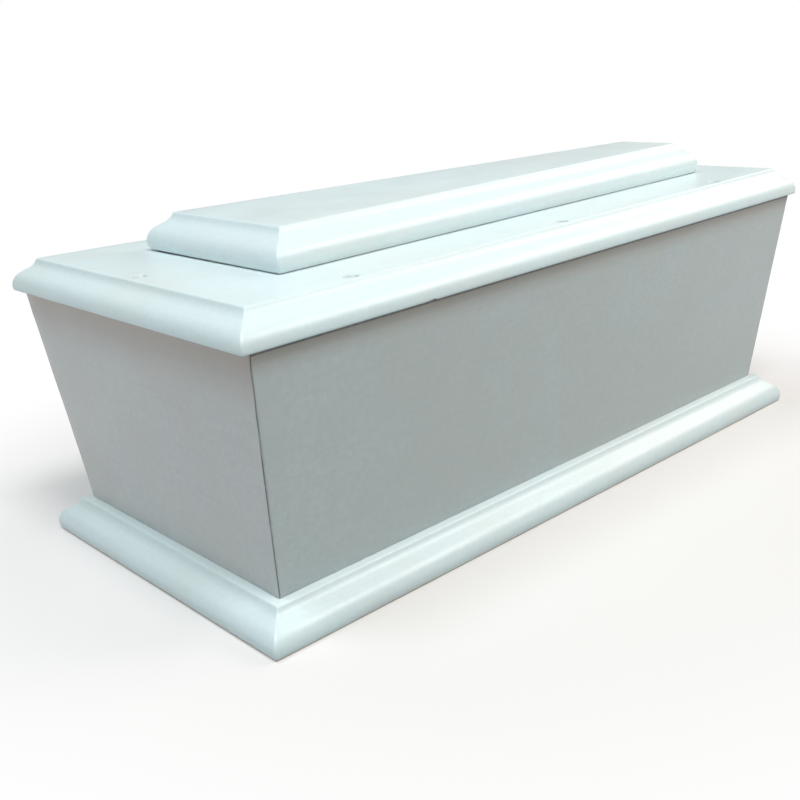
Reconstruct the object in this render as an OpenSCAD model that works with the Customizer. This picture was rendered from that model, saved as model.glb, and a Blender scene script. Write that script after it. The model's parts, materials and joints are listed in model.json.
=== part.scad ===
// Infant coffin in white-painted pine: a base board with a moulded edge, four leaning
// walls mitred at the corners, a moulded lid board and a raised panel on top of the lid.
// Seen from above it is wider at the head end and closes in evenly towards the foot end.
// Millimetres. +X runs from the head end to the foot end and +Z is up.
// The origin is on the ground under the middle of the lid's length.

/* [Box] */
// Outside length of the box where the walls stand on the base
floor_length = 575; // [350:1:1400]
// Outside width of the box there, half-way along the lid
floor_width = 214; // [180:1:560]
// Height of the walls, measured straight up
wall_height = 170; // [90:1:420]
// Thickness of the wall boards
wall_thick = 22; // [16:0.5:28]
// Angle by which each long side closes in towards the foot end
side_taper = 5; // [0:0.5:7]
// Outward lean of the long sides, from upright
side_lean = 8.3; // [0:0.1:14]
// Outward lean of the head end, from upright
head_lean = 6; // [0:0.5:14]
// Outward lean of the foot end, from upright
foot_lean = 8; // [0:0.5:14]

/* [Boards] */
// Thickness of the base board
base_thick = 27; // [23:0.5:32]
// Flat ledge of the base board in front of the walls, before its moulding starts
base_ledge = 7.5; // [2:0.5:30]
// Thickness of the lid board
lid_thick = 24; // [23:0.5:32]
// How far the lid's lower edge stands out past the walls at the two ends
lid_overhang_ends = 7; // [0:0.5:20]
// How far the lid's lower edge stands out past the walls along the sides
lid_overhang_sides = 3.5; // [0:0.5:20]

/* [Raised panel] */
// Thickness of the raised panel
panel_thick = 28; // [23:0.5:32]
// Flat of the lid left in front of the panel at the head end
margin_head = 66; // [25:1:120]
// Flat of the lid left in front of the panel at the foot end
margin_foot = 47; // [25:1:120]
// Flat of the lid left beside the panel along the long sides
margin_sides = 55; // [25:1:58]

/* [Edge moulding] */
// Radius of the hollow under the top edge
cove_radius = 10; // [6:0.5:12]
// Steepness at which the hollow starts at the top edge
cove_start = 80; // [65:1:90]
// Slope of the short straight between the hollow and the round
slope = 32; // [20:1:40]
// Length of that straight
slope_length = 5.5; // [1:0.5:7]
// Radius of the round nose below
nose_radius = 13; // [11:0.5:15]

/* [Lid screws] */
// Diameter of the screw holes through the lid
screw_hole = 5; // [3:0.5:6]
// Diameter of the countersink at the top of each hole
countersink = 11; // [8:0.5:12]
// Distance between the three holes along each long side
screw_pitch = 212; // [80:1:500]
// Distance of the holes in from the outside of the walls at their top
screw_inset = 18.5; // [12:0.5:30]

/* [Hidden] */
$fn = 96;

// The four sides, counted round the plan from the foot end.
FOOT = 0; LEFT = 1; HEAD = 2; RIGHT = 3;
// Direction in which each side faces, seen from above.
facing = [0, 90 - side_taper, 180, side_taper - 90];
lean = [foot_lean, side_lean, head_lean, side_lean];

// A plan is four distances, one for each side, from the origin to that side's line.
// That of a moulded board is drawn round its sharp top edge.
rim_length = floor_length + wall_height * (tan(head_lean) + tan(foot_lean));
side_reach = floor_width / 2 * cos(side_taper);
flare = [for (a = lean) wall_height * tan(a)];
floor_plan = [rim_length / 2 - flare[FOOT], side_reach, rim_length / 2 - flare[HEAD], side_reach];
rim_plan = floor_plan + flare;

// Heights of the four levels.
wall_bottom = base_thick;
wall_top = wall_bottom + wall_height;
lid_top = wall_top + lid_thick;
panel_top = lid_top + panel_thick;

// The moulding is two arcs joined by a short straight, measured out from the top edge and up.
// At a given steepness the hollow curves about its centre from the outside, the nose from within.
function on_cove(steepness) = cove_centre - cove_radius * [sin(steepness), cos(steepness)];
function on_nose(steepness) = nose_centre + nose_radius * [sin(steepness), cos(steepness)];
cove_centre = cove_radius * [sin(cove_start), cos(cove_start)];
slope_end = on_cove(slope) + slope_length * [cos(slope), -sin(slope)];
nose_centre = slope_end - nose_radius * [sin(slope), cos(slope)];
// How many short faces stand for each arc.
cove_steps = 6;
nose_steps = 10;
// Steepness that the nose has reached at the underside of a board, past 90 where it turns back in.
function last_steepness(thick) = acos(-(thick + nose_centre.y) / nose_radius);
// How far the moulding's lower edge stands out.
function edge_reach(thick) = on_nose(last_steepness(thick)).x;

base_plan = grow(floor_plan, base_ledge);
lid_overhang = [lid_overhang_ends, lid_overhang_sides, lid_overhang_ends, lid_overhang_sides];
lid_plan = grow(rim_plan + lid_overhang, -edge_reach(lid_thick));
panel_margin = [margin_foot, margin_sides, margin_head, margin_sides];
panel_plan = grow(lid_plan - panel_margin, -edge_reach(panel_thick));
screw_plan = grow(rim_plan, -screw_inset);

screw_sink = (countersink - screw_hole) / 2;
// Longer and wider than the whole box, for stock that is cut to shape.
stock = 4 * (floor_length + floor_width);
// How far a cutter runs past the face it cuts.
past = 1;

function grow(plan, by) = [for (d = plan) d + by];
function next(side) = (side + 1) % 4;
function previous(side) = (side + 3) % 4;

// The point where two neighbouring sides of a plan meet.
function corner(plan, a, b) =
    [plan[a] * sin(facing[b]) - plan[b] * sin(facing[a]),
     plan[b] * cos(facing[a]) - plan[a] * cos(facing[b])] / sin(facing[b] - facing[a]);

// The point on a side's line of a plan that lies at a given x.
function on_side(plan, side, x) = [x, (plan[side] - x * cos(facing[side])) / sin(facing[side])];

// The direction out of a wall's leaning outer face.
function wall_normal(side) =
    [cos(facing[side]) * cos(lean[side]), sin(facing[side]) * cos(lean[side]), -sin(lean[side])];

// Carries a flat section, drawn outwards along +X and upwards along +Y, along one side of a plan.
module run_along(plan, side, height)
    rotate([0, 0, facing[side]])
        translate([plan[side], 0, height])
            rotate([90, 0, 0])
                linear_extrude(height = stock, center = true) children();

// Cross-section of a moulded board from far inside out to its edge, with the top edge at 0, 0.
module board_section(thick) {
    last = last_steepness(thick);
    polygon(concat(
        [[-stock, 0]],
        [for (i = [0 : cove_steps]) on_cove(cove_start + (slope - cove_start) * i / cove_steps)],
        [for (i = [0 : nose_steps]) on_nose(slope + (last - slope) * i / nose_steps)],
        [[-stock, -thick]]));
}

// A board with the moulding run round all four edges, which mitres it at the corners.
module moulded_board(plan, thick, top)
    intersection() {
        run_along(plan, FOOT, top) board_section(thick);
        run_along(plan, LEFT, top) board_section(thick);
        run_along(plan, HEAD, top) board_section(thick);
        run_along(plan, RIGHT, top) board_section(thick);
    }

// Takes away everything beyond a point in a given direction.
module saw_off(point, direction)
    difference() {
        children();
        translate(point)
            rotate([0, acos(direction.z / norm(direction)), atan2(direction.y, direction.x)])
                translate([-stock, -stock, 0]) cube(2 * stock);
    }

// One leaning wall board, with its ends sawn to the mitres that it shares with its neighbours.
module wall(side) {
    board_width = wall_thick / cos(lean[side]);
    before = corner(floor_plan, previous(side), side);
    after = corner(floor_plan, side, next(side));
    saw_off([before.x, before.y, wall_bottom], wall_normal(previous(side)) - wall_normal(side))
        saw_off([after.x, after.y, wall_bottom], wall_normal(next(side)) - wall_normal(side))
            run_along(floor_plan, side, wall_bottom)
                polygon([[0, 0], [flare[side], wall_height],
                         [flare[side] - board_width, wall_height], [-board_width, 0]]);
}

// A countersunk hole down through the lid.
module screw_hole_at(point)
    translate([point.x, point.y, 0]) {
        translate([0, 0, wall_top - past]) cylinder(h = lid_thick + 2 * past, d = screw_hole);
        translate([0, 0, lid_top - screw_sink])
            cylinder(h = screw_sink, d1 = screw_hole, d2 = countersink);
        translate([0, 0, lid_top]) cylinder(h = past, d = countersink);
    }

module base_board() color("white") moulded_board(base_plan, base_thick, base_thick);

module head_end() color("whitesmoke") wall(HEAD);

module foot_end() color("whitesmoke") wall(FOOT);

module left_side() color("whitesmoke") wall(LEFT);

module right_side() color("whitesmoke") wall(RIGHT);

module lid_board() color("white")
    difference() {
        moulded_board(lid_plan, lid_thick, lid_top);
        for (side = [LEFT, RIGHT], step = [-1, 0, 1])
            screw_hole_at(on_side(screw_plan, side, step * screw_pitch));
        screw_hole_at([-screw_plan[HEAD], 0]);
        screw_hole_at([screw_plan[FOOT], 0]);
    }

module raised_panel() color("white") moulded_board(panel_plan, panel_thick, panel_top);

base_board();
head_end();
foot_end();
left_side();
right_side();
lid_board();
raised_panel();
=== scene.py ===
# %% [markdown]
# # A white-painted pine coffin for an infant
# The real thing is joiner's work. A base board with a moulded edge carries four leaning
# walls, mitred at the corners. A moulded lid board is screwed down on them, and a raised
# panel with the same edge lies on the lid. All of it is pine, under white satin lacquer
# where it shows. This lesson builds those seven pieces by hand-like steps around the
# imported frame, gives them paint and bare wood, and lights them like a plain studio shot.

# %% Load the frame
import json
import math

import bpy
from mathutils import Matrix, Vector, noise


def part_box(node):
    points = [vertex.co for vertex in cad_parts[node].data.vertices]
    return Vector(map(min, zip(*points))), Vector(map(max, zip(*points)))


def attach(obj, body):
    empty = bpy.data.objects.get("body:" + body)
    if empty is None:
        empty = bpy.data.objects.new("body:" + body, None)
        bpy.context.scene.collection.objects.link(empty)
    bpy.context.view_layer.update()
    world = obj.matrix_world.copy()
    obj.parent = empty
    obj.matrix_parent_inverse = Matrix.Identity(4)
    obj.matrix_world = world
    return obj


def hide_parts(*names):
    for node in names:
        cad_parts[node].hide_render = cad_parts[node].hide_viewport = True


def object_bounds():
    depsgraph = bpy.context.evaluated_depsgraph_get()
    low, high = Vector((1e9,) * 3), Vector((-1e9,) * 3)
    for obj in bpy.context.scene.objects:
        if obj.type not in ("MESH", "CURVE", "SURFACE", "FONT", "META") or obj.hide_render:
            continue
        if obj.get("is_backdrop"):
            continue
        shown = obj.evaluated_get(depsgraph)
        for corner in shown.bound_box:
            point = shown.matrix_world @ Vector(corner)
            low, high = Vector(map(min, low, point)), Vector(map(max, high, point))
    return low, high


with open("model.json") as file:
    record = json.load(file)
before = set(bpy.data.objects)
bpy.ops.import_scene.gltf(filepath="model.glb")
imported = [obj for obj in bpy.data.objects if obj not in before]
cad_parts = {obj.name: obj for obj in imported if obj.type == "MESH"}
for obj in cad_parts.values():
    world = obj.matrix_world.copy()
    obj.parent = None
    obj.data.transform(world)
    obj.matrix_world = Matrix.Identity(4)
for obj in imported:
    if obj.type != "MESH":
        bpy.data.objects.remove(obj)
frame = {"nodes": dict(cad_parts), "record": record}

MM = 0.001
TINY = MM / 1000
UP = Vector((0, 0, 1))
cad_low, cad_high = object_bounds()
print("the whole object is", [round(s / MM, 1) for s in cad_high - cad_low], "mm")

# %% [markdown]
# ## Reading the plan off the frame
# Seen from above the box closes in evenly from the head end to the foot end, so each of
# its four sides faces its own way. A board reaches a certain distance in each of those
# directions, and four such distances are all that it takes to saw its outline.

# %% The four ways the sides face
def reach(node, way, level=None):
    """How far a CAD node goes in one direction, at one height only if a level is given."""
    near = 0.1 * MM
    corners = [v.co for v in frame["nodes"][node].data.vertices]
    return max(p.dot(way) for p in corners if level is None or abs(p.z - level) < near)


lid_low, lid_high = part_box("lid_board")
lid_corners = [v.co for v in frame["nodes"]["lid_board"].data.vertices]
half_at_head = max(p.y for p in lid_corners if p.x < lid_low.x + MM / 10)
half_at_foot = max(p.y for p in lid_corners if p.x > lid_high.x - MM / 10)
taper = math.atan2(half_at_head - half_at_foot, lid_high.x - lid_low.x)
FOOT = Vector((1, 0, 0))
LEFT = Vector((math.sin(taper), math.cos(taper), 0))
HEAD = Vector((-1, 0, 0))
RIGHT = Vector((math.sin(taper), -math.cos(taper), 0))
print("each long side closes in by", round(math.degrees(taper), 2), "degrees")

# %% [markdown]
# ## Hand tools
# A few helpers stand for the tools of the bench. `stock` lays down a block of wood, `saw`
# cuts through it at a plane and lets the waste fall, `mark` cuts a line without parting
# anything, and `pick` opens it in edit mode with faces or edges selected by a rule. These
# helpers keep each later cell short, and they all leave the piece's object at the origin.

# %% Stock, saw, mark and pick
def stock(name, low, high):
    """A block of wood between two corners, its place kept in its mesh."""
    bpy.ops.object.select_all(action="DESELECT")
    bpy.ops.mesh.primitive_cube_add(size=1, location=(low + high) / 2, scale=high - low)
    piece = bpy.context.object
    piece.name = piece.data.name = name
    bpy.ops.object.transform_apply(location=True, rotation=True, scale=True)
    return piece


def use(piece):
    """Makes one piece the only selected and active one."""
    bpy.ops.object.select_all(action="DESELECT")
    piece.select_set(True)
    bpy.context.view_layer.objects.active = piece


def saw(piece, way, distance, waste=True):
    """Cuts at the plane that lies at a distance in one direction. What is beyond it goes."""
    use(piece)
    bpy.ops.object.mode_set(mode="EDIT")
    bpy.ops.mesh.select_all(action="SELECT")
    bpy.ops.mesh.bisect(plane_co=way * distance, plane_no=way, use_fill=waste, clear_outer=waste)
    bpy.ops.object.mode_set(mode="OBJECT")


def mark(piece, way, distances):
    """Cuts lines across the whole surface, so that it can be bent or coloured there."""
    for distance in distances:
        saw(piece, way, distance, waste=False)


def pick(piece, kind, rule):
    """Opens a piece in edit mode with just those faces or edges selected that pass a rule."""
    use(piece)
    bpy.context.tool_settings.mesh_select_mode = (False, kind == "EDGE", kind == "FACE")
    mesh = piece.data
    for part in (mesh.vertices, mesh.edges, mesh.polygons):
        part.foreach_set("select", [False] * len(part))
    chosen = mesh.polygons if kind == "FACE" else mesh.edges
    for part in chosen:
        part.select = rule(part)
    bpy.ops.object.mode_set(mode="EDIT")


def done():
    """Back to object mode."""
    bpy.ops.object.mode_set(mode="OBJECT")


def ends(piece, edge):
    """The two ends of an edge."""
    return [piece.data.vertices[i].co for i in edge.vertices]


# %% [markdown]
# ## The moulding
# All three boards carry one moulding, run with the same cutter. Below an eased top edge
# comes a hollow, a short straight slope, and a round nose that turns back in to the
# underside. A cutter is drawn with a compass and a ruler, so its section is written as
# arcs and a line too, as pairs of how far out and how far up from the sharp top edge.

# %% The cutter's section
COVE_RADIUS = 10 * MM
COVE_START = math.radians(80)
SLOPE = math.radians(32)
SLOPE_LENGTH = 5.5 * MM
NOSE_RADIUS = 13 * MM
EASE = 1.5 * MM
FOOT_EASE = 0.9 * MM
EASE_STEPS, COVE_STEPS, NOSE_STEPS = 5, 9, 16


def arc(centre, radius, start, stop, steps):
    """Points round a centre, from one steepness to another. A minus radius gives a hollow."""
    turns = [start + (stop - start) * i / steps for i in range(steps + 1)]
    return [(centre[0] + radius * math.sin(t), centre[1] + radius * math.cos(t)) for t in turns]


def moulding(thick):
    """The section of a board's edge, from the flat of its top down to its underside."""
    back = EASE * math.tan(COVE_START / 2)
    after_ease = COVE_START - back / COVE_RADIUS
    top = arc((-back, -EASE), EASE, 0, after_ease, EASE_STEPS)
    cove_centre = (COVE_RADIUS * math.sin(COVE_START), COVE_RADIUS * math.cos(COVE_START))
    cove = arc(cove_centre, -COVE_RADIUS, after_ease, SLOPE, COVE_STEPS)
    slope_end = (cove[-1][0] + SLOPE_LENGTH * math.cos(SLOPE),
                 cove[-1][1] - SLOPE_LENGTH * math.sin(SLOPE))
    nose_centre = (slope_end[0] - NOSE_RADIUS * math.sin(SLOPE),
                   slope_end[1] - NOSE_RADIUS * math.cos(SLOPE))
    last = math.acos((FOOT_EASE - thick - nose_centre[1]) / NOSE_RADIUS)
    nose = arc(nose_centre, NOSE_RADIUS, SLOPE, last, NOSE_STEPS)
    # Two short facets ease the lower edge, in shares of the height of that ease.
    under = [(nose[-1][0] - FOOT_EASE * 0.45, -thick + FOOT_EASE * 0.25),
             (nose[-1][0] - FOOT_EASE * 1.2, -thick)]
    return top + cove[1:] + nose + under


print("the lid's edge has", len(moulding(24 * MM)), "points round its section")

# %% [markdown]
# ## Moulding a board
# A joiner could run the cutter along four sides, which leaves a mitre at each corner.
# The same shape comes here from a thin slab sawn to the board's widest outline: its top
# face is inset and raised step by step along the section, and its lower face inset and
# pushed down, with an even offset that keeps every step parallel to the sides. The four
# mitre lines are then rounded a little, as sandpaper and paint leave them.

# %% The moulded board
SLAB = 0.2 * MM
MITRE_ROUND = 1.5 * MM
MARK_EVERY = 18 * MM


def step_along(points):
    """Insets the selected face from each point of the section to the next."""
    for here, there in zip(points, points[1:]):
        bpy.ops.mesh.inset(thickness=here[0] - there[0], depth=abs(there[1] - here[1]),
                           use_even_offset=True)


def moulded_board(name, node):
    """A board with the moulding run round it, in the place of a CAD node."""
    low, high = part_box(node)
    section = moulding(high.z - low.z)
    widest = max(range(len(section)), key=lambda i: section[i][0])
    out, up = section[widest]
    level = high.z + up
    side = Vector((MARK_EVERY, MARK_EVERY, 0))
    piece = stock(name, Vector((low.x, low.y, level - SLAB / 2)) - side,
                  Vector((high.x, high.y, level + SLAB / 2)) + side)
    for way in (FOOT, LEFT, HEAD, RIGHT):
        saw(piece, way, reach(node, way))
    pick(piece, "FACE", lambda f: f.normal.z > 0.9)
    step_along([(out, up + SLAB / 2)] + section[:widest][::-1])
    done()
    pick(piece, "FACE", lambda f: f.normal.z < -0.9)
    step_along([(out, up - SLAB / 2)] + section[widest + 1:])
    done()
    pick(piece, "EDGE", lambda e: abs(ends(piece, e)[0].z - ends(piece, e)[1].z) > TINY)
    bpy.ops.mesh.bevel(offset=MITRE_ROUND, segments=4, affect="EDGES", clamp_overlap=False)
    done()
    for axis in (0, 1):
        way = Vector((axis == 0, axis == 1, 0))
        count = math.ceil((high[axis] - low[axis]) / MARK_EVERY)
        gap = (high[axis] - low[axis]) / count
        mark(piece, way, [low[axis] + gap * i for i in range(1, count)])
    print(name, "has", len(piece.data.polygons), "faces")
    return piece


base = moulded_board("moulded_base", "base_board")
lid = moulded_board("moulded_lid", "lid_board")
panel = moulded_board("moulded_panel", "raised_panel")

# %% [markdown]
# ## The leaning walls
# Each wall is one board that leans outwards. Its ends are sawn on the plane that halves
# the corner between it and its neighbour. The CAD node gives all of its planes: the
# outer and inner face from its lean and its reach, and the mitres from two neighbours.

# %% Planes of a wall
WALLS = {"head_end": HEAD, "foot_end": FOOT, "left_side": LEFT, "right_side": RIGHT}
ROUND_OF_WALLS = ["foot_end", "left_side", "head_end", "right_side"]


def wall_face(node):
    """The direction that a wall's outer face looks in, and the face's distance in it."""
    low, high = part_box(node)
    way = WALLS[node]
    out = reach(node, way, high.z) - reach(node, way, low.z)
    lean = math.atan2(out, high.z - low.z)
    normal = way * math.cos(lean) - UP * math.sin(lean)
    return normal, reach(node, normal)


def mitre(node, neighbour):
    """The plane between two walls, seen from the first one."""
    (normal, distance), (other, far) = wall_face(node), wall_face(neighbour)
    way = other - normal
    return way.normalized(), (far - distance) / way.length


def neighbours(node):
    """The walls before and after a wall, going round the box."""
    at = ROUND_OF_WALLS.index(node)
    return [ROUND_OF_WALLS[at - 1], ROUND_OF_WALLS[(at + 1) % 4]]


for node in WALLS:
    normal, _ = wall_face(node)
    print(node, "leans out by", round(math.degrees(math.asin(-normal.z)), 1), "degrees")

# %% [markdown]
# ## Sawing the walls
# The stock is a block as high as the wall, and four saw cuts make the board of it. Its
# outer edges are eased, because an edge is never left sharp under paint. Lines are marked
# close to the corners and the rim, where dirt and shade gather, and then every centimetre
# or two, so that later steps have points to move and to colour.

# %% The walls
SPARE = 5 * MM
JOINT_GAP = 0.03 * MM
WALL_EASE = 0.35 * MM
ROW_EVERY = 10 * MM
NEAR_JOINT = [0.6 * MM, 1.1 * MM, 1.8 * MM, 3 * MM, 6 * MM, 12 * MM]
NEAR_RIM = [0.8 * MM, 1.8 * MM, 2.5 * MM, 4 * MM, 7 * MM, 12 * MM, 18 * MM, 26 * MM, 34 * MM]


def wall_board(name, node):
    """One leaning wall, sawn from a block, with eased outer edges."""
    low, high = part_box(node)
    normal, distance = wall_face(node)
    room = Vector((SPARE, SPARE, 0))
    piece = stock(name, low - room, high + room)
    saw(piece, normal, distance)
    saw(piece, -normal, reach(node, -normal))
    mitres = [mitre(node, other) for other in neighbours(node)]
    for way, where in mitres:
        saw(piece, way, where - JOINT_GAP)
    pick(piece, "EDGE", lambda e: all(abs(p.dot(normal) - distance) < 10 * TINY for p in ends(piece, e)))
    bpy.ops.mesh.bevel(offset=WALL_EASE, segments=3, affect="EDGES", clamp_overlap=False)
    done()
    for way, where in mitres:
        mark(piece, way, [where - step for step in NEAR_JOINT])
    mark(piece, UP, [high.z - step for step in NEAR_RIM])
    rows = math.ceil((high.z - low.z) / ROW_EVERY)
    mark(piece, UP, [low.z + (high.z - low.z) * i / rows for i in range(1, rows)])
    axis = 0 if abs(normal.y) > abs(normal.x) else 1
    along = Vector((axis == 0, axis == 1, 0))
    columns = math.ceil((high[axis] - low[axis]) / MARK_EVERY)
    gap = (high[axis] - low[axis]) / columns
    mark(piece, along, [low[axis] + gap * i for i in range(1, columns)])
    print(name, "has", len(piece.data.polygons), "faces")
    return piece


walls = {node: wall_board("wall_" + node, node) for node in WALLS}

# %% [markdown]
# ## Hand-made corners
# The corners were planed and filled by hand, so the joint line wanders by up to about a
# millimetre. Both boards at a corner are moved by the same amount, so they still meet.

# %% The wandering joints
BOW = 1.0 * MM
WANDER = 0.55 * MM
BOW_RATE = 9
WANDER_RATE = 110
JOINT_FADE = 6 * MM


def wander(corner, height):
    """How far a corner's joint line strays sideways at a height, other for each corner."""
    slow = noise.noise(Vector((height * BOW_RATE, corner * 7.3, 0.5)))
    quick = noise.noise(Vector((height * WANDER_RATE, corner * 3.1, 4.2)))
    return BOW * slow + WANDER * quick


strays = []
for node, piece in walls.items():
    for other in neighbours(node):
        way, where = mitre(node, other)
        first, last = sorted([ROUND_OF_WALLS.index(node), ROUND_OF_WALLS.index(other)])
        sign = 1 if ROUND_OF_WALLS[first] == node else -1
        for v in piece.data.vertices:
            near = 1 - (where - v.co.dot(way)) / JOINT_FADE
            if near > 0:
                shift = sign * way * wander(first * 4 + last, v.co.z) * near
                v.co += Vector((shift.x, shift.y, 0))
                strays.append(shift.xy.length)
print("the joints wander by up to", round(max(strays) / MM, 2), "mm")

# %% [markdown]
# ## Screw holes in the lid
# Eight screws hold the lid. Each hole has a wide countersink, painted with the lid. The
# places come from the record's mounts. The cutter is a rod with a cone and a soft lip on
# it, and a Boolean modifier takes its shape out of the board.

# %% Countersinks
SINK_RADIUS = 5.5 * MM
SINK_LIP = 0.35 * MM
ROD_LENGTH = 60 * MM


def screw_places():
    """The eight holes, from the record's pairs of lid screws."""
    places = []
    for mount in frame["record"]["mounts"]:
        if not mount["name"].startswith("lid_screws"):
            continue
        dims = mount["dims"]
        half = Vector((dims.get("spacing_x_mm", 0), dims.get("spacing_y_mm", 0), 0)) * MM / 2
        centre = Vector(mount["pos_m"])
        places += [(centre + half, dims["hole_r_mm"] * MM), (centre - half, dims["hole_r_mm"] * MM)]
    return places


def cut_with(piece, cutter):
    """Takes a cutter's shape out of a piece and throws the cutter away."""
    use(piece)
    cut = piece.modifiers.new("cut", "BOOLEAN")
    cut.object, cut.solver = cutter, "EXACT"
    bpy.ops.object.modifier_apply(modifier=cut.name)
    bpy.data.objects.remove(cutter)


def grown(cutter, place, out):
    """The factor by which the cutter's top ring has to grow to stand out further."""
    cutter.update_from_editmode()
    level = max(v.co.z for v in cutter.data.vertices)
    ring = [v.co for v in cutter.data.vertices if v.co.z > level - TINY]
    radius = max((p.xy - place.xy).length for p in ring)
    return (radius + out) / radius


def countersink(place, radius):
    """A rod with a cone on it, as a countersink bit leaves it."""
    sink = SINK_RADIUS - radius
    top = lid_high.z - sink
    bpy.ops.object.select_all(action="DESELECT")
    bpy.ops.mesh.primitive_cylinder_add(vertices=40, radius=radius, depth=ROD_LENGTH,
                                        location=(place.x, place.y, top - ROD_LENGTH / 2))
    cutter = bpy.context.object
    bpy.ops.object.transform_apply(location=True, rotation=True, scale=True)
    pick(cutter, "FACE", lambda f: f.normal.z > 0.9)
    # The cone, the two facets of the lip, and a rest that stands clear of the board.
    steps = [(sink - SINK_LIP, sink - SINK_LIP), (SINK_LIP * 0.8, SINK_LIP * 0.6),
             (SINK_LIP * 0.9, SINK_LIP * 0.4), (MM, MM / 4)]
    for out, up in steps:
        bpy.ops.mesh.extrude_region_move(TRANSFORM_OT_translate={"value": (0, 0, up)})
        grow = grown(cutter, place, out)
        bpy.ops.transform.resize(value=(grow, grow, 1), center_override=(place.x, place.y, 0))
    done()
    return cutter


screws = screw_places()
for place, radius in screws:
    cut_with(lid, countersink(place, radius))
print(len(screws), "holes cut; the lid has", len(lid.data.polygons), "faces")

# %% [markdown]
# ## An open joint
# The raised panel doesn't lie quite tight at its head end: one corner stands off the lid
# by about a millimetre, which shows as a dark line that fades along the joint. Only its
# lowest points are lifted, the most at the corner, and the rest of it stays in place.

# %% The open corner under the panel
OPEN_BY = 0.9 * MM
OPEN_ALONG = 150 * MM
OPEN_HIGH = 3 * MM
OPEN_CURVE = 0.7

panel_low, panel_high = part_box("raised_panel")
open_corner = Vector((panel_low.x, panel_high.y, panel_low.z))
lifted = 0
for v in panel.data.vertices:
    above = (v.co.z - panel_low.z) / OPEN_HIGH
    away = (v.co.xy - open_corner.xy).length / OPEN_ALONG
    if above < 1 and away < 1:
        v.co.z += OPEN_BY * (1 - above) * (1 - away) ** OPEN_CURVE
        lifted += 1
print(lifted, "points of the panel stand off the lid")

# %% [markdown]
# ## A missing splinter
# A splinter has broken out of the lower edge of the lid, on the right side. What is gone
# is a wedge that gets deeper along the edge and stops short, so a block is sawn aslant
# and cut out of the lid.

# %% The splinter
CHIP_AT = -158 * MM
CHIP_LONG = 13 * MM
CHIP_DEEP = 1.4 * MM
CHIP_IN = 3 * MM

edge = reach("lid_board", RIGHT, lid_low.z)
chip_y = (edge - CHIP_AT * RIGHT.x) / RIGHT.y
chip = stock("chip", Vector((CHIP_AT - CHIP_LONG, chip_y - CHIP_IN, lid_low.z - MM)),
             Vector((CHIP_AT, chip_y + CHIP_IN, lid_low.z + CHIP_DEEP)))
aslant = Vector((-CHIP_DEEP / CHIP_LONG, 0, 1)).normalized()
saw(chip, aslant, aslant.dot(Vector((CHIP_AT, chip_y, lid_low.z + CHIP_DEEP))))
cut_with(lid, chip)
print("a splinter", round(CHIP_LONG / MM), "mm long is gone;",
      "the lid has", len(lid.data.polygons), "faces")

# %% [markdown]
# ## The unevenness of hand sanding
# Sanded wood is never quite flat. A Displace modifier with soft clouds pulls each surface
# in by up to a sixth of a millimetre, which is enough to break up long reflections. It
# only pulls inwards, as sanding does, so it makes no piece bigger than its CAD node.

# %% Sanding
SANDED = 0.16 * MM
SHARP = math.radians(38)
clouds = bpy.data.textures.new("sanding_clouds", "CLOUDS")
clouds.noise_scale = 55 * MM
clouds.noise_depth = 2


def sand(piece):
    """Pulls the surface in unevenly and shades it smooth up to a sharp edge."""
    use(piece)
    uneven = piece.modifiers.new("sanding", "DISPLACE")
    uneven.texture, uneven.texture_coords = clouds, "LOCAL"
    uneven.strength, uneven.mid_level = SANDED, 1
    bpy.ops.object.modifier_apply(modifier=uneven.name)
    bpy.ops.object.shade_smooth_by_angle(angle=SHARP)


for piece in [base, lid, panel, *walls.values()]:
    sand(piece)
print("every surface is pulled in by up to", round(SANDED / MM, 2), "mm")

# %% [markdown]
# ## Where dirt and shade gather
# Paint stays clean on open faces and goes grey in joints, and some grey lines are painted
# shade. Each point gets a number, highest in such a line and 0 a millimetre or two away,
# which the paint reads later. On the walls it follows the mitres, as dirt, and the rim
# under the lid, as painted shade under the lid's edge. On the boards it follows the lower
# edge, partly dirt and partly painted contact shade, and the lid's countersinks get a little
# of it too, as painted shade. Each wall also gets a number called `rim`, 1 at the top and 0
# some way down, for the painted brownish shade under the lid.

# %% The dirt, painted shade and rim numbers
# A core is the strength in the middle of a line, from which it fades to the sides.
MITRE_DIRT = 0.8 * MM
MITRE_CORE = 1.25
MITRE_DARK = 0.52
# The line right under the lid's edge on each wall is painted shade, wider on the long sides.
RIM_SHADE_LINE = {"left_side": 2.5 * MM, "right_side": 2.5 * MM, "head_end": MM, "foot_end": MM}
RIM_SOFT = 0.7 * MM
RIM_SHADE = {"left_side": 18 * MM, "right_side": 18 * MM, "head_end": 40 * MM, "foot_end": 40 * MM}
RIM_CURVE = 1.3
# The darkening along the boards' lower edges is partly dirt and partly painted contact shade.
UNDER_DIRT_AND_SHADE = 0.8 * MM
UNDER_CORE = 1.1
# The countersinks are darkened as painted shade in their hollows.
SINK_SHADE = 0.35
SINK_FROM = 0.3 * MM


def store(piece, name, rule):
    """Stores a number from 0 to 1 at each point of a piece, under a name."""
    layer = piece.data.attributes.new(name, "FLOAT", "POINT")
    values = [min(1, max(0, rule(v.co))) for v in piece.data.vertices]
    layer.data.foreach_set("value", values)


def in_countersink(point):
    """True in the hollow round a screw hole in the lid."""
    deep = point.z < lid_high.z - SINK_FROM
    return deep and any((point.xy - place.xy).length < SINK_RADIUS for place, _ in screws)


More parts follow.
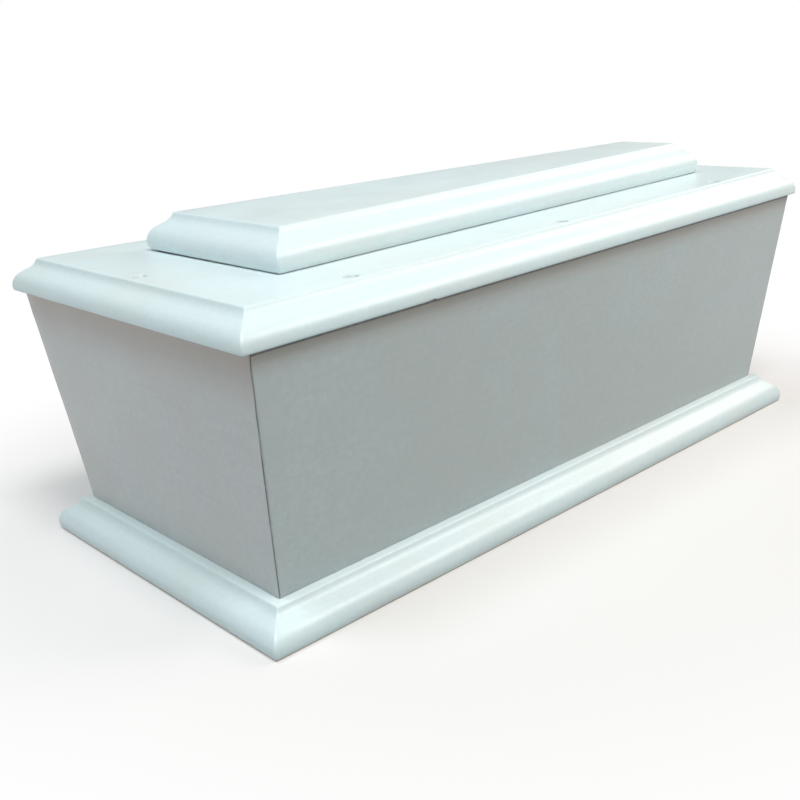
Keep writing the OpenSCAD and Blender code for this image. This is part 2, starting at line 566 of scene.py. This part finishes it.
for node, piece in walls.items():
    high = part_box(node)[1]
    mitres = [mitre(node, other) for other in neighbours(node)]
    # The mitre lines are dirt in the joints; the line at the rim is painted shade under the lid's edge.
    store(piece, "dirt_and_shade", lambda p: max(
        max(MITRE_DARK * (MITRE_CORE - (where - p.dot(way)) / MITRE_DIRT) for way, where in mitres),
        (RIM_SHADE_LINE[node] - high.z + p.z) / RIM_SOFT))
    store(piece, "rim", lambda p: max(0, 1 - (high.z - p.z) / RIM_SHADE[node]) ** RIM_CURVE)
# On the boards the lower edges darken, partly as dirt and partly as painted contact shade, and the
# countersinks darken as painted shade.
for node, piece in (("base_board", base), ("lid_board", lid), ("raised_panel", panel)):
    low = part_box(node)[0]
    store(piece, "dirt_and_shade", lambda p: max(UNDER_CORE - (p.z - low.z) / UNDER_DIRT_AND_SHADE,
                                        SINK_SHADE * in_countersink(p) if piece == lid else 0))
# The dirt number stored here is partly painted shade: under the lid's edge, at the lower edges and in
# the countersinks.
print("dirt is stored on all seven pieces, and the shade under the lid on the four walls")

# %% [markdown]
# ## A small kit for node trees
# The two finishes, the floor and the sky are node trees. A few helpers keep them readable:
# `add` puts in a node with its numbers, `link` connects two nodes, `ramp` maps one range
# of a signal to another, `combine` joins two signals and `blend` mixes two colours. All
# patterns read Object coordinates, so that nothing slides when the view moves, and
# `streaks` squeezes those along a board, which draws a noise out into grain.

# %% Nodes, links, ramps and blends
# A Mix node has sockets for every kind of value, and these are the ones for colours.
MIX_FACTOR, MIX_FIRST, MIX_SECOND, MIX_RESULT = 0, 6, 7, 2


def material(name):
    """An empty node material."""
    made = bpy.data.materials.new(name)
    made.use_nodes = True
    made.node_tree.nodes.clear()
    return made


def add(made, kind, **sockets):
    """Adds a node and sets its sockets by name."""
    node = made.node_tree.nodes.new("ShaderNode" + kind)
    for key, value in sockets.items():
        node.inputs[key.replace("_", " ")].default_value = value
    return node


def link(made, source, out, target, into):
    """Connects two nodes."""
    made.node_tree.links.new(source.outputs[out], target.inputs[into])


def ramp(made, source, out, low, high, from_value=0.0, to_value=1.0):
    """Maps a range of a signal to another, clamped."""
    node = add(made, "MapRange", From_Min=low, From_Max=high, To_Min=from_value, To_Max=to_value)
    link(made, source, out, node, "Value")
    return node


def combine(made, operation, first, out, second, other):
    """Joins two signals by an operation such as MULTIPLY or MAXIMUM."""
    node = add(made, "Math")
    node.operation = operation
    link(made, first, out, node, 0)
    link(made, second, other, node, 1)
    return node


def blend(made, factor, out, first, second):
    """Mixes two colours, each a tuple or an earlier blend, by a signal."""
    node = add(made, "Mix")
    node.data_type = "RGBA"
    link(made, factor, out, node, MIX_FACTOR)
    for value, socket in ((first, MIX_FIRST), (second, MIX_SECOND)):
        if isinstance(value, tuple):
            node.inputs[socket].default_value = value
        else:
            link(made, value, MIX_RESULT, node, socket)
    return node


# %% Patterns and outputs
def streaks(made, along, squeeze):
    """Object coordinates, squeezed along the board so that a noise becomes streaks."""
    scale = tuple(squeeze if axis == along else 1 for axis in range(3))
    mapping = add(made, "Mapping", Scale=scale)
    link(made, add(made, "TexCoord"), "Object", mapping, "Vector")
    return mapping


def noise_at(made, vector, scale, detail=3.0, rough=0.5):
    """A noise of so many bumps to the metre."""
    node = add(made, "TexNoise", Scale=scale, Detail=detail, Roughness=rough)
    link(made, vector, "Vector", node, "Vector")
    return node


def stored(made, name):
    """Reads a number that the points of a piece carry."""
    node = add(made, "Attribute")
    node.attribute_name = name
    return node


def to_surface(made, shader, out="BSDF"):
    """Makes a shader the surface of a material."""
    link(made, shader, out, add(made, "OutputMaterial"), "Surface")


# %% [markdown]
# ## White satin lacquer
# The paint is a cool white with a soft gloss. Close up it isn't one colour: it is a little
# yellower where it is thin, the grain of the pine shows through as faint streaks along
# the board, the roller leaves a fine orange peel, and a few specks of dust dried in it.
# Each of those is one pattern at its own scale. The paint is thinner on the walls than on
# the moulded boards, so its patches and grain show more there. The walls also get a
# greyer, warmer tint, which is painted shade, warmest on the end walls.

# %% Colours and scales of the lacquer
PAINT_WHITE = (0.742, 0.850, 0.872)
PAINT_THIN = (0.742, 0.808, 0.794)
PAINT_GREY = (0.685, 0.780, 0.800)
# The wall tints are painted shade: they darken and warm the walls' paint, the end walls the warmest.
SIDE_SHADE_TINT = (0.70, 0.67, 0.66)
END_SHADE_TINT = (0.83, 0.72, 0.70)
WALL_THIN = 2.1
WALL_GRAIN_DEPTH = 0.12
DUST = (0.30, 0.29, 0.28, 1)
# The grey of the dark lines: dirt in the mitres and partly on the lower edges, painted shade under the
# lid's edge, on the lower edges and in the countersinks.
DIRT_AND_SHADE_GREY = (0.115, 0.110, 0.112, 1)
# The brown of the painted shade under the lid.
RIM_TINT = (0.45, 0.34, 0.28, 1)
RIM_STRENGTH = 0.80

# How much the grain is squeezed along the board, and how many bumps each pattern has to
# the metre.
GRAIN_SQUEEZE = 0.035
THIN_PATCHES = 11
GLOSS_PATCHES = 24
DUST_CELLS = 38
MOTTLES = 210
DIRT_AND_SHADE_BREAKS = 260
GRAIN_LINES = 420
PEEL_BUMPS = 900

# %% The colour of the lacquer
GRAIN_SHOWS = 0.55
MOTTLE_SHOWS = 0.5
SPECK_EDGE = (0.012, 0.022)
SPECK_RARE = (0.80, 0.82)


def toned(made, plain, grain, tones, thinness):
    """The paint's white, broken up by thin patches, by grain and by mottles."""
    white, weak, grey = tones
    patches = noise_at(made, plain, THIN_PATCHES, 7, 0.62)
    mottles = noise_at(made, plain, MOTTLES, 5, 0.7)
    thin = ramp(made, patches, "Fac", 0.42, 0.70, 0, thinness)
    faint = ramp(made, grain, "Fac", 0.48, 0.74, 0, GRAIN_SHOWS * thinness)
    mottle = ramp(made, mottles, "Fac", 0.38, 0.66, 0, MOTTLE_SHOWS * thinness)
    colour = blend(made, thin, "Result", white, weak)
    colour = blend(made, faint, "Result", colour, grey)
    return blend(made, mottle, "Result", colour, grey)


def dusted(made, plain, colour):
    """Adds specks of dust: a small spot at the heart of a few cells of a pattern."""
    cells = add(made, "TexVoronoi", Scale=DUST_CELLS)
    link(made, plain, "Vector", cells, "Vector")
    spot = ramp(made, cells, "Distance", *SPECK_EDGE, 1, 0)
    rare = ramp(made, cells, "Color", *SPECK_RARE)
    speck = combine(made, "MULTIPLY", spot, "Result", rare, "Result")
    return blend(made, speck, "Value", colour, DUST)


def shaded(made, plain, colour):
    """Adds the painted brownish shade under the lid, and broken grey lines of dirt and painted shade."""
    rim = ramp(made, stored(made, "rim"), "Fac", 0, 1, 0, RIM_STRENGTH)
    colour = blend(made, rim, "Result", colour, RIM_TINT)
    breaks = noise_at(made, plain, DIRT_AND_SHADE_BREAKS, 4)
    broken = ramp(made, breaks, "Fac", 0.30, 0.62, 0.72, 1)
    # The stored number darkens the mitres as dirt, and the rim and countersinks as painted shade, the
    # lower edges partly so.
    dirt_and_shade_amount = combine(made, "MULTIPLY", stored(made, "dirt_and_shade"), "Fac", broken, "Result")
    return blend(made, dirt_and_shade_amount, "Value", colour, DIRT_AND_SHADE_GREY)


# %% The gloss of the lacquer
SATIN = (0.29, 0.40)
PEEL_DEPTH = 0.1 * MM
GRAIN_RAISE = 0.25 * MM


def glossed(made, shader, plain, grain, grain_depth):
    """Gives the paint its uneven gloss, its orange peel and the raised grain."""
    dull = ramp(made, noise_at(made, plain, GLOSS_PATCHES, 4), "Fac", 0.3, 0.7, *SATIN)
    link(made, dull, "Result", shader, "Roughness")
    peel = add(made, "Bump", Strength=0.16, Distance=PEEL_DEPTH)
    link(made, noise_at(made, plain, PEEL_BUMPS, 2), "Fac", peel, "Height")
    over = add(made, "Bump", Strength=grain_depth, Distance=GRAIN_RAISE)
    link(made, grain, "Fac", over, "Height")
    link(made, peel, "Normal", over, "Normal")
    link(made, over, "Normal", shader, "Normal")


# %% The three lacquers
def lacquer(name, along, shade_tint=(1, 1, 1), thinness=1.0, grain_depth=0.05):
    """White satin paint over pine with its grain along one axis; a tint darkens it as painted shade."""
    made = material(name)
    tones = [tuple(c * t for c, t in zip(tone, shade_tint)) + (1,)
             for tone in (PAINT_WHITE, PAINT_THIN, PAINT_GREY)]
    plain = streaks(made, along, 1)
    grain = noise_at(made, streaks(made, along, GRAIN_SQUEEZE), GRAIN_LINES, 5, 0.62)
    colour = toned(made, plain, grain, tones, thinness)
    colour = dusted(made, plain, colour)
    colour = shaded(made, plain, colour)
    shader = add(made, "BsdfPrincipled", IOR=1.48, Coat_Weight=0.22, Coat_Roughness=0.24)
    link(made, colour, MIX_RESULT, shader, "Base Color")
    glossed(made, shader, plain, grain, grain_depth)
    to_surface(made, shader)
    return made


board_paint = lacquer("board_paint", 0)
# The walls' lacquers are the board paint with a painted shade tint.
shaded_side_paint = lacquer("shaded_wall_paint_lengthwise", 0, SIDE_SHADE_TINT, WALL_THIN, WALL_GRAIN_DEPTH)
shaded_end_paint = lacquer("shaded_wall_paint_crosswise", 1, END_SHADE_TINT, WALL_THIN, WALL_GRAIN_DEPTH)
print("three lacquers made, for boards, long walls and end walls")

# %% [markdown]
# ## Bare pine
# The underside, the inside and the faces hidden in the joints were never painted. Pine is
# straw yellow with darker late wood in long, slightly wavy lines, and fine fibres. The
# rings come from a wave pattern bent by noise and squeezed along the board.

# %% The bare wood
EARLY_WOOD = (0.62, 0.42, 0.22, 1)
LATE_WOOD = (0.40, 0.22, 0.09, 1)
PALE_WOOD = (0.55, 0.40, 0.25, 1)
FIBRE_DARK = (0.33, 0.20, 0.10, 1)
WOOD_SQUEEZE = 0.06
RINGS = 38
WOOD_PATCHES = 9
FIBRES = 900


def bare_pine(name, along):
    """Planed, unpainted pine with its grain along one axis."""
    made = material(name)
    plain = streaks(made, along, 1)
    long = streaks(made, along, WOOD_SQUEEZE)
    rings = add(made, "TexWave", Scale=RINGS, Distortion=5.5, Detail=3, Detail_Scale=1.4)
    rings.bands_direction = "DIAGONAL"
    link(made, long, "Vector", rings, "Vector")
    late = ramp(made, rings, "Fac", 0.45, 0.95)
    colour = blend(made, late, "Result", EARLY_WOOD, LATE_WOOD)
    patch = ramp(made, noise_at(made, plain, WOOD_PATCHES, 3), "Fac", 0.35, 0.7, 0, 0.5)
    colour = blend(made, patch, "Result", colour, PALE_WOOD)
    fibre = noise_at(made, long, FIBRES, 4, 0.6)
    dark = ramp(made, fibre, "Fac", 0.5, 0.75, 0, 0.35)
    colour = blend(made, dark, "Result", colour, FIBRE_DARK)
    shader = add(made, "BsdfPrincipled", IOR=1.45)
    link(made, colour, MIX_RESULT, shader, "Base Color")
    dull = ramp(made, fibre, "Fac", 0.3, 0.7, 0.55, 0.72)
    link(made, dull, "Result", shader, "Roughness")
    bump = add(made, "Bump", Strength=0.25, Distance=0.3 * MM)
    link(made, fibre, "Fac", bump, "Height")
    link(made, bump, "Normal", shader, "Normal")
    to_surface(made, shader)
    return made


pine_long = bare_pine("bare_pine_lengthwise", 0)
pine_cross = bare_pine("bare_pine_crosswise", 1)
print("bare pine made, with its grain lengthwise and crosswise")

# %% [markdown]
# ## Painting the pieces
# Paint goes on what a hand can reach when the box is shut. Every other face stays bare:
# the underside of the base, the inside of the box, and the faces that lie in a joint. The
# paint has also rubbed off the eased edge round the underside, which shows as a thin
# brown line. The walls' outline is first marked on the base and the lid, a little inside
# its true place, so that no bare wood peeps out.

# %% Paint and bare faces
UNDER_WALLS = 8 * MM


def finish_piece(piece, node, paint, pine, is_bare):
    """Gives a piece its two finishes and ties it to the frame."""
    piece.data.materials.append(paint)
    piece.data.materials.append(pine)
    for face in piece.data.polygons:
        face.material_index = 1 if is_bare(face) else 0
    bare = sum(face.material_index for face in piece.data.polygons)
    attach(piece, "root")
    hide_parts(node)
    print(piece.name, "has", bare, "bare faces of", len(piece.data.polygons))


def looks_down(face):
    """True for the flat of an underside."""
    return face.normal.z < -0.98


def under_edge(face):
    """True for an underside and the eased edge round it, where paint has rubbed off."""
    return face.normal.z < -0.35 and face.center.z < cad_low.z + FOOT_EASE


def mark_walls(piece, level):
    """Marks a board just inside the walls' outer faces, and returns a rule for what is within."""
    # The level is 0 for the foot of the walls and 1 for their rim.
    inner = {}
    for node, way in WALLS.items():
        inner[node] = reach(node, way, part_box(node)[level].z) - UNDER_WALLS
        mark(piece, way, [inner[node]])
    return lambda face: all(face.center.dot(WALLS[node]) < inner[node] for node in WALLS)


shut_in = mark_walls(base, 0)
finish_piece(base, "base_board", board_paint, pine_long,
             lambda f: under_edge(f) or f.normal.z > 0.98 and shut_in(f))
shut_in = mark_walls(lid, 1)
finish_piece(lid, "lid_board", board_paint, pine_long,
             lambda f: looks_down(f) and shut_in(f))
finish_piece(panel, "raised_panel", board_paint, pine_long, looks_down)
for node, piece in walls.items():
    outward = WALLS[node]
    lengthwise = node in ("left_side", "right_side")
    finish_piece(piece, node, shaded_side_paint if lengthwise else shaded_end_paint,
                 pine_long if lengthwise else pine_cross,
                 lambda f: f.normal.dot(outward) < -0.9 or abs(f.normal.z) > 0.98)

# %% [markdown]
# ## The floor
# A plain pale floor carries the object's own soft shadow and fades to white further out,
# so that no horizon shows. It has one tone for the camera and for reflections, and a
# darker one for the light that it throws back on the object. The fade is a white glow that
# grows with the distance from the middle, and only the camera and reflections see it.

# %% The floor
FLOOR_SIZE = 14
FLOOR_KEEPS = 0.88
FADE_FROM, FADE_TO = 0.28, 0.58
FLOOR_SEEN = (0.79, 0.765, 0.755, 1)
FLOOR_BOUNCE = (0.47, 0.53, 0.54, 1)
WHITE = (1, 1, 1, 1)

bpy.ops.object.select_all(action="DESELECT")
bpy.ops.mesh.primitive_circle_add(vertices=96, radius=FLOOR_SIZE / 2, fill_type="NGON",
                                  location=(0, 0, cad_low.z))
floor = bpy.context.object
floor.name = "studio_floor"
bpy.ops.object.transform_apply(location=True, rotation=True, scale=True)
floor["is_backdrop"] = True


def seen(made):
    """A signal that is 1 for what a camera, a reflection or a clear material sees."""
    path = add(made, "LightPath")
    plain = combine(made, "MAXIMUM", path, "Is Camera Ray", path, "Is Glossy Ray")
    return combine(made, "MAXIMUM", plain, "Value", path, "Is Transmission Ray")


paper = material("studio_paper")
looked_at = seen(paper)
away = add(paper, "VectorMath")
away.operation = "LENGTH"
link(paper, add(paper, "TexCoord"), "Object", away, 0)
fade = ramp(paper, away, "Value", FADE_FROM, FADE_TO, 1 - FLOOR_KEEPS, 1)
fade.interpolation_type = "SMOOTHSTEP"
amount = combine(paper, "MULTIPLY", fade, "Result", looked_at, "Value")
tone = blend(paper, looked_at, "Value", FLOOR_BOUNCE, FLOOR_SEEN)
diffuse = add(paper, "BsdfDiffuse")
link(paper, tone, MIX_RESULT, diffuse, "Color")
glow = add(paper, "Emission", Color=WHITE, Strength=1.0)
either = add(paper, "MixShader")
link(paper, amount, "Value", either, 0)
link(paper, diffuse, "BSDF", either, 1)
link(paper, glow, "Emission", either, 2)
to_surface(paper, either, "Shader")
floor.data.materials.append(paper)
print("the floor fades to white from", FADE_FROM, "m to", FADE_TO, "m away")

# %% [markdown]
# ## The sky and the lamps
# The camera sees a plain white sky, reflections see a grey one, and it hardly lights the
# object at all. The light comes from six square soft lamps. The key lamp hangs high over
# the right side, and another as high over the head end. A lower lamp stands at the corner
# of the foot end and the right side. A warm fill at the foot end, a cool fill at the head
# end and a back lamp on the left side keep those sides from going dark. No reflection
# shows the back lamp, because its mirror image would bleach the flat tops.

# %% The sky
AMBIENT = 0.02
MIRRORED = 0.33

world = bpy.data.worlds.new("studio_world")
bpy.context.scene.world = world
world.use_nodes = True
world.node_tree.nodes.clear()
lit = ramp(world, seen(world), "Value", 0, 1, AMBIENT, MIRRORED)
strength = combine(world, "MAXIMUM", lit, "Result", add(world, "LightPath"), "Is Camera Ray")
sky = add(world, "Background", Color=WHITE)
link(world, strength, "Value", sky, "Strength")
link(world, sky, "Background", add(world, "OutputWorld"), "Surface")
print("the sky lights the object at", AMBIENT, "and is mirrored at", MIRRORED)

# %% The lamps
# Each lamp has a name, a place seen from the middle of the object, a size, a power and a colour.
LAMPS = [
    ("key_lamp", (-0.45, -1.0, 1.9), 0.6, 32.5, (0.94, 0.95, 0.945)),
    ("foot_lamp", (1.2, -1.2, 1.2), 0.8, 10.5, (1.0, 0.97, 0.90)),
    ("foot_fill", (1.1, -0.3, 0.7), 0.6, 4.5, (1.0, 0.92, 0.82)),
    ("head_lamp", (-0.95, 0.1, 1.9), 0.6, 14.5, (0.86, 0.98, 1.0)),
    ("head_fill", (-1.6, 0.1, 0.35), 0.9, 3.0, (0.90, 0.97, 1.0)),
    ("back_lamp", (0.0, 1.7, 0.5), 1.0, 10, (0.92, 0.97, 1.0)),
]


def lamp(name, place, aim, size, power, colour):
    """A square soft lamp that looks at a point."""
    data = bpy.data.lights.new(name, "AREA")
    data.size, data.energy, data.color = size, power, colour
    made = bpy.data.objects.new(name, data)
    bpy.context.scene.collection.objects.link(made)
    made.location = place
    made.rotation_euler = (Vector(aim) - Vector(place)).to_track_quat("-Z", "Y").to_euler()
    return made


middle = (cad_low + cad_high) / 2
for name, place, size, power, colour in LAMPS:
    made = lamp(name, middle + Vector(place), middle, size, power, colour)
    made.visible_glossy = name != "back_lamp"
print(len(LAMPS), "lamps hung")

# %% [markdown]
# ## The camera
# The camera looks at the corner of the head end and the right side, a little from above,
# and leans to one side. A direction, a distance and a point to look at give its place.
# Its own axes are then tilted by the roll, which gives its turn.

# %% The camera
AZIMUTH, ELEVATION, ROLL = map(math.radians, (-38.44, 17.35, -4.39))
DISTANCE = 0.9626
LENS = 53.3
FILM_WIDTH = 36
SEES_FROM, SEES_TO = 0.01, 50
AIM = Vector((-75.9 * MM, 0, 78.8 * MM))

back = Vector((math.sin(AZIMUTH) * math.cos(ELEVATION),
               -math.cos(AZIMUTH) * math.cos(ELEVATION), math.sin(ELEVATION)))
camera = bpy.data.objects.new("camera", bpy.data.cameras.new("camera"))
bpy.context.scene.collection.objects.link(camera)
camera.data.lens = LENS
camera.data.sensor_width = FILM_WIDTH
camera.data.clip_start, camera.data.clip_end = SEES_FROM, SEES_TO
camera.location = AIM + back * DISTANCE
upright = (-back).to_track_quat("-Z", "Y").to_matrix()
across, over = upright.col[0].copy(), upright.col[1].copy()
upright.col[0] = across * math.cos(ROLL) + over * math.sin(ROLL)
upright.col[1] = over * math.cos(ROLL) - across * math.sin(ROLL)
camera.rotation_mode = "QUATERNION"
camera.rotation_quaternion = upright.to_quaternion()
bpy.context.scene.camera = camera
bpy.context.scene.view_settings.view_transform = "Standard"
print("the camera stands", DISTANCE, "m away, with a lens of", LENS, "mm")

# %% Sizes and finish
low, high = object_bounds()
print("visual box", [round(s / MM, 2) for s in high - low], "mm")
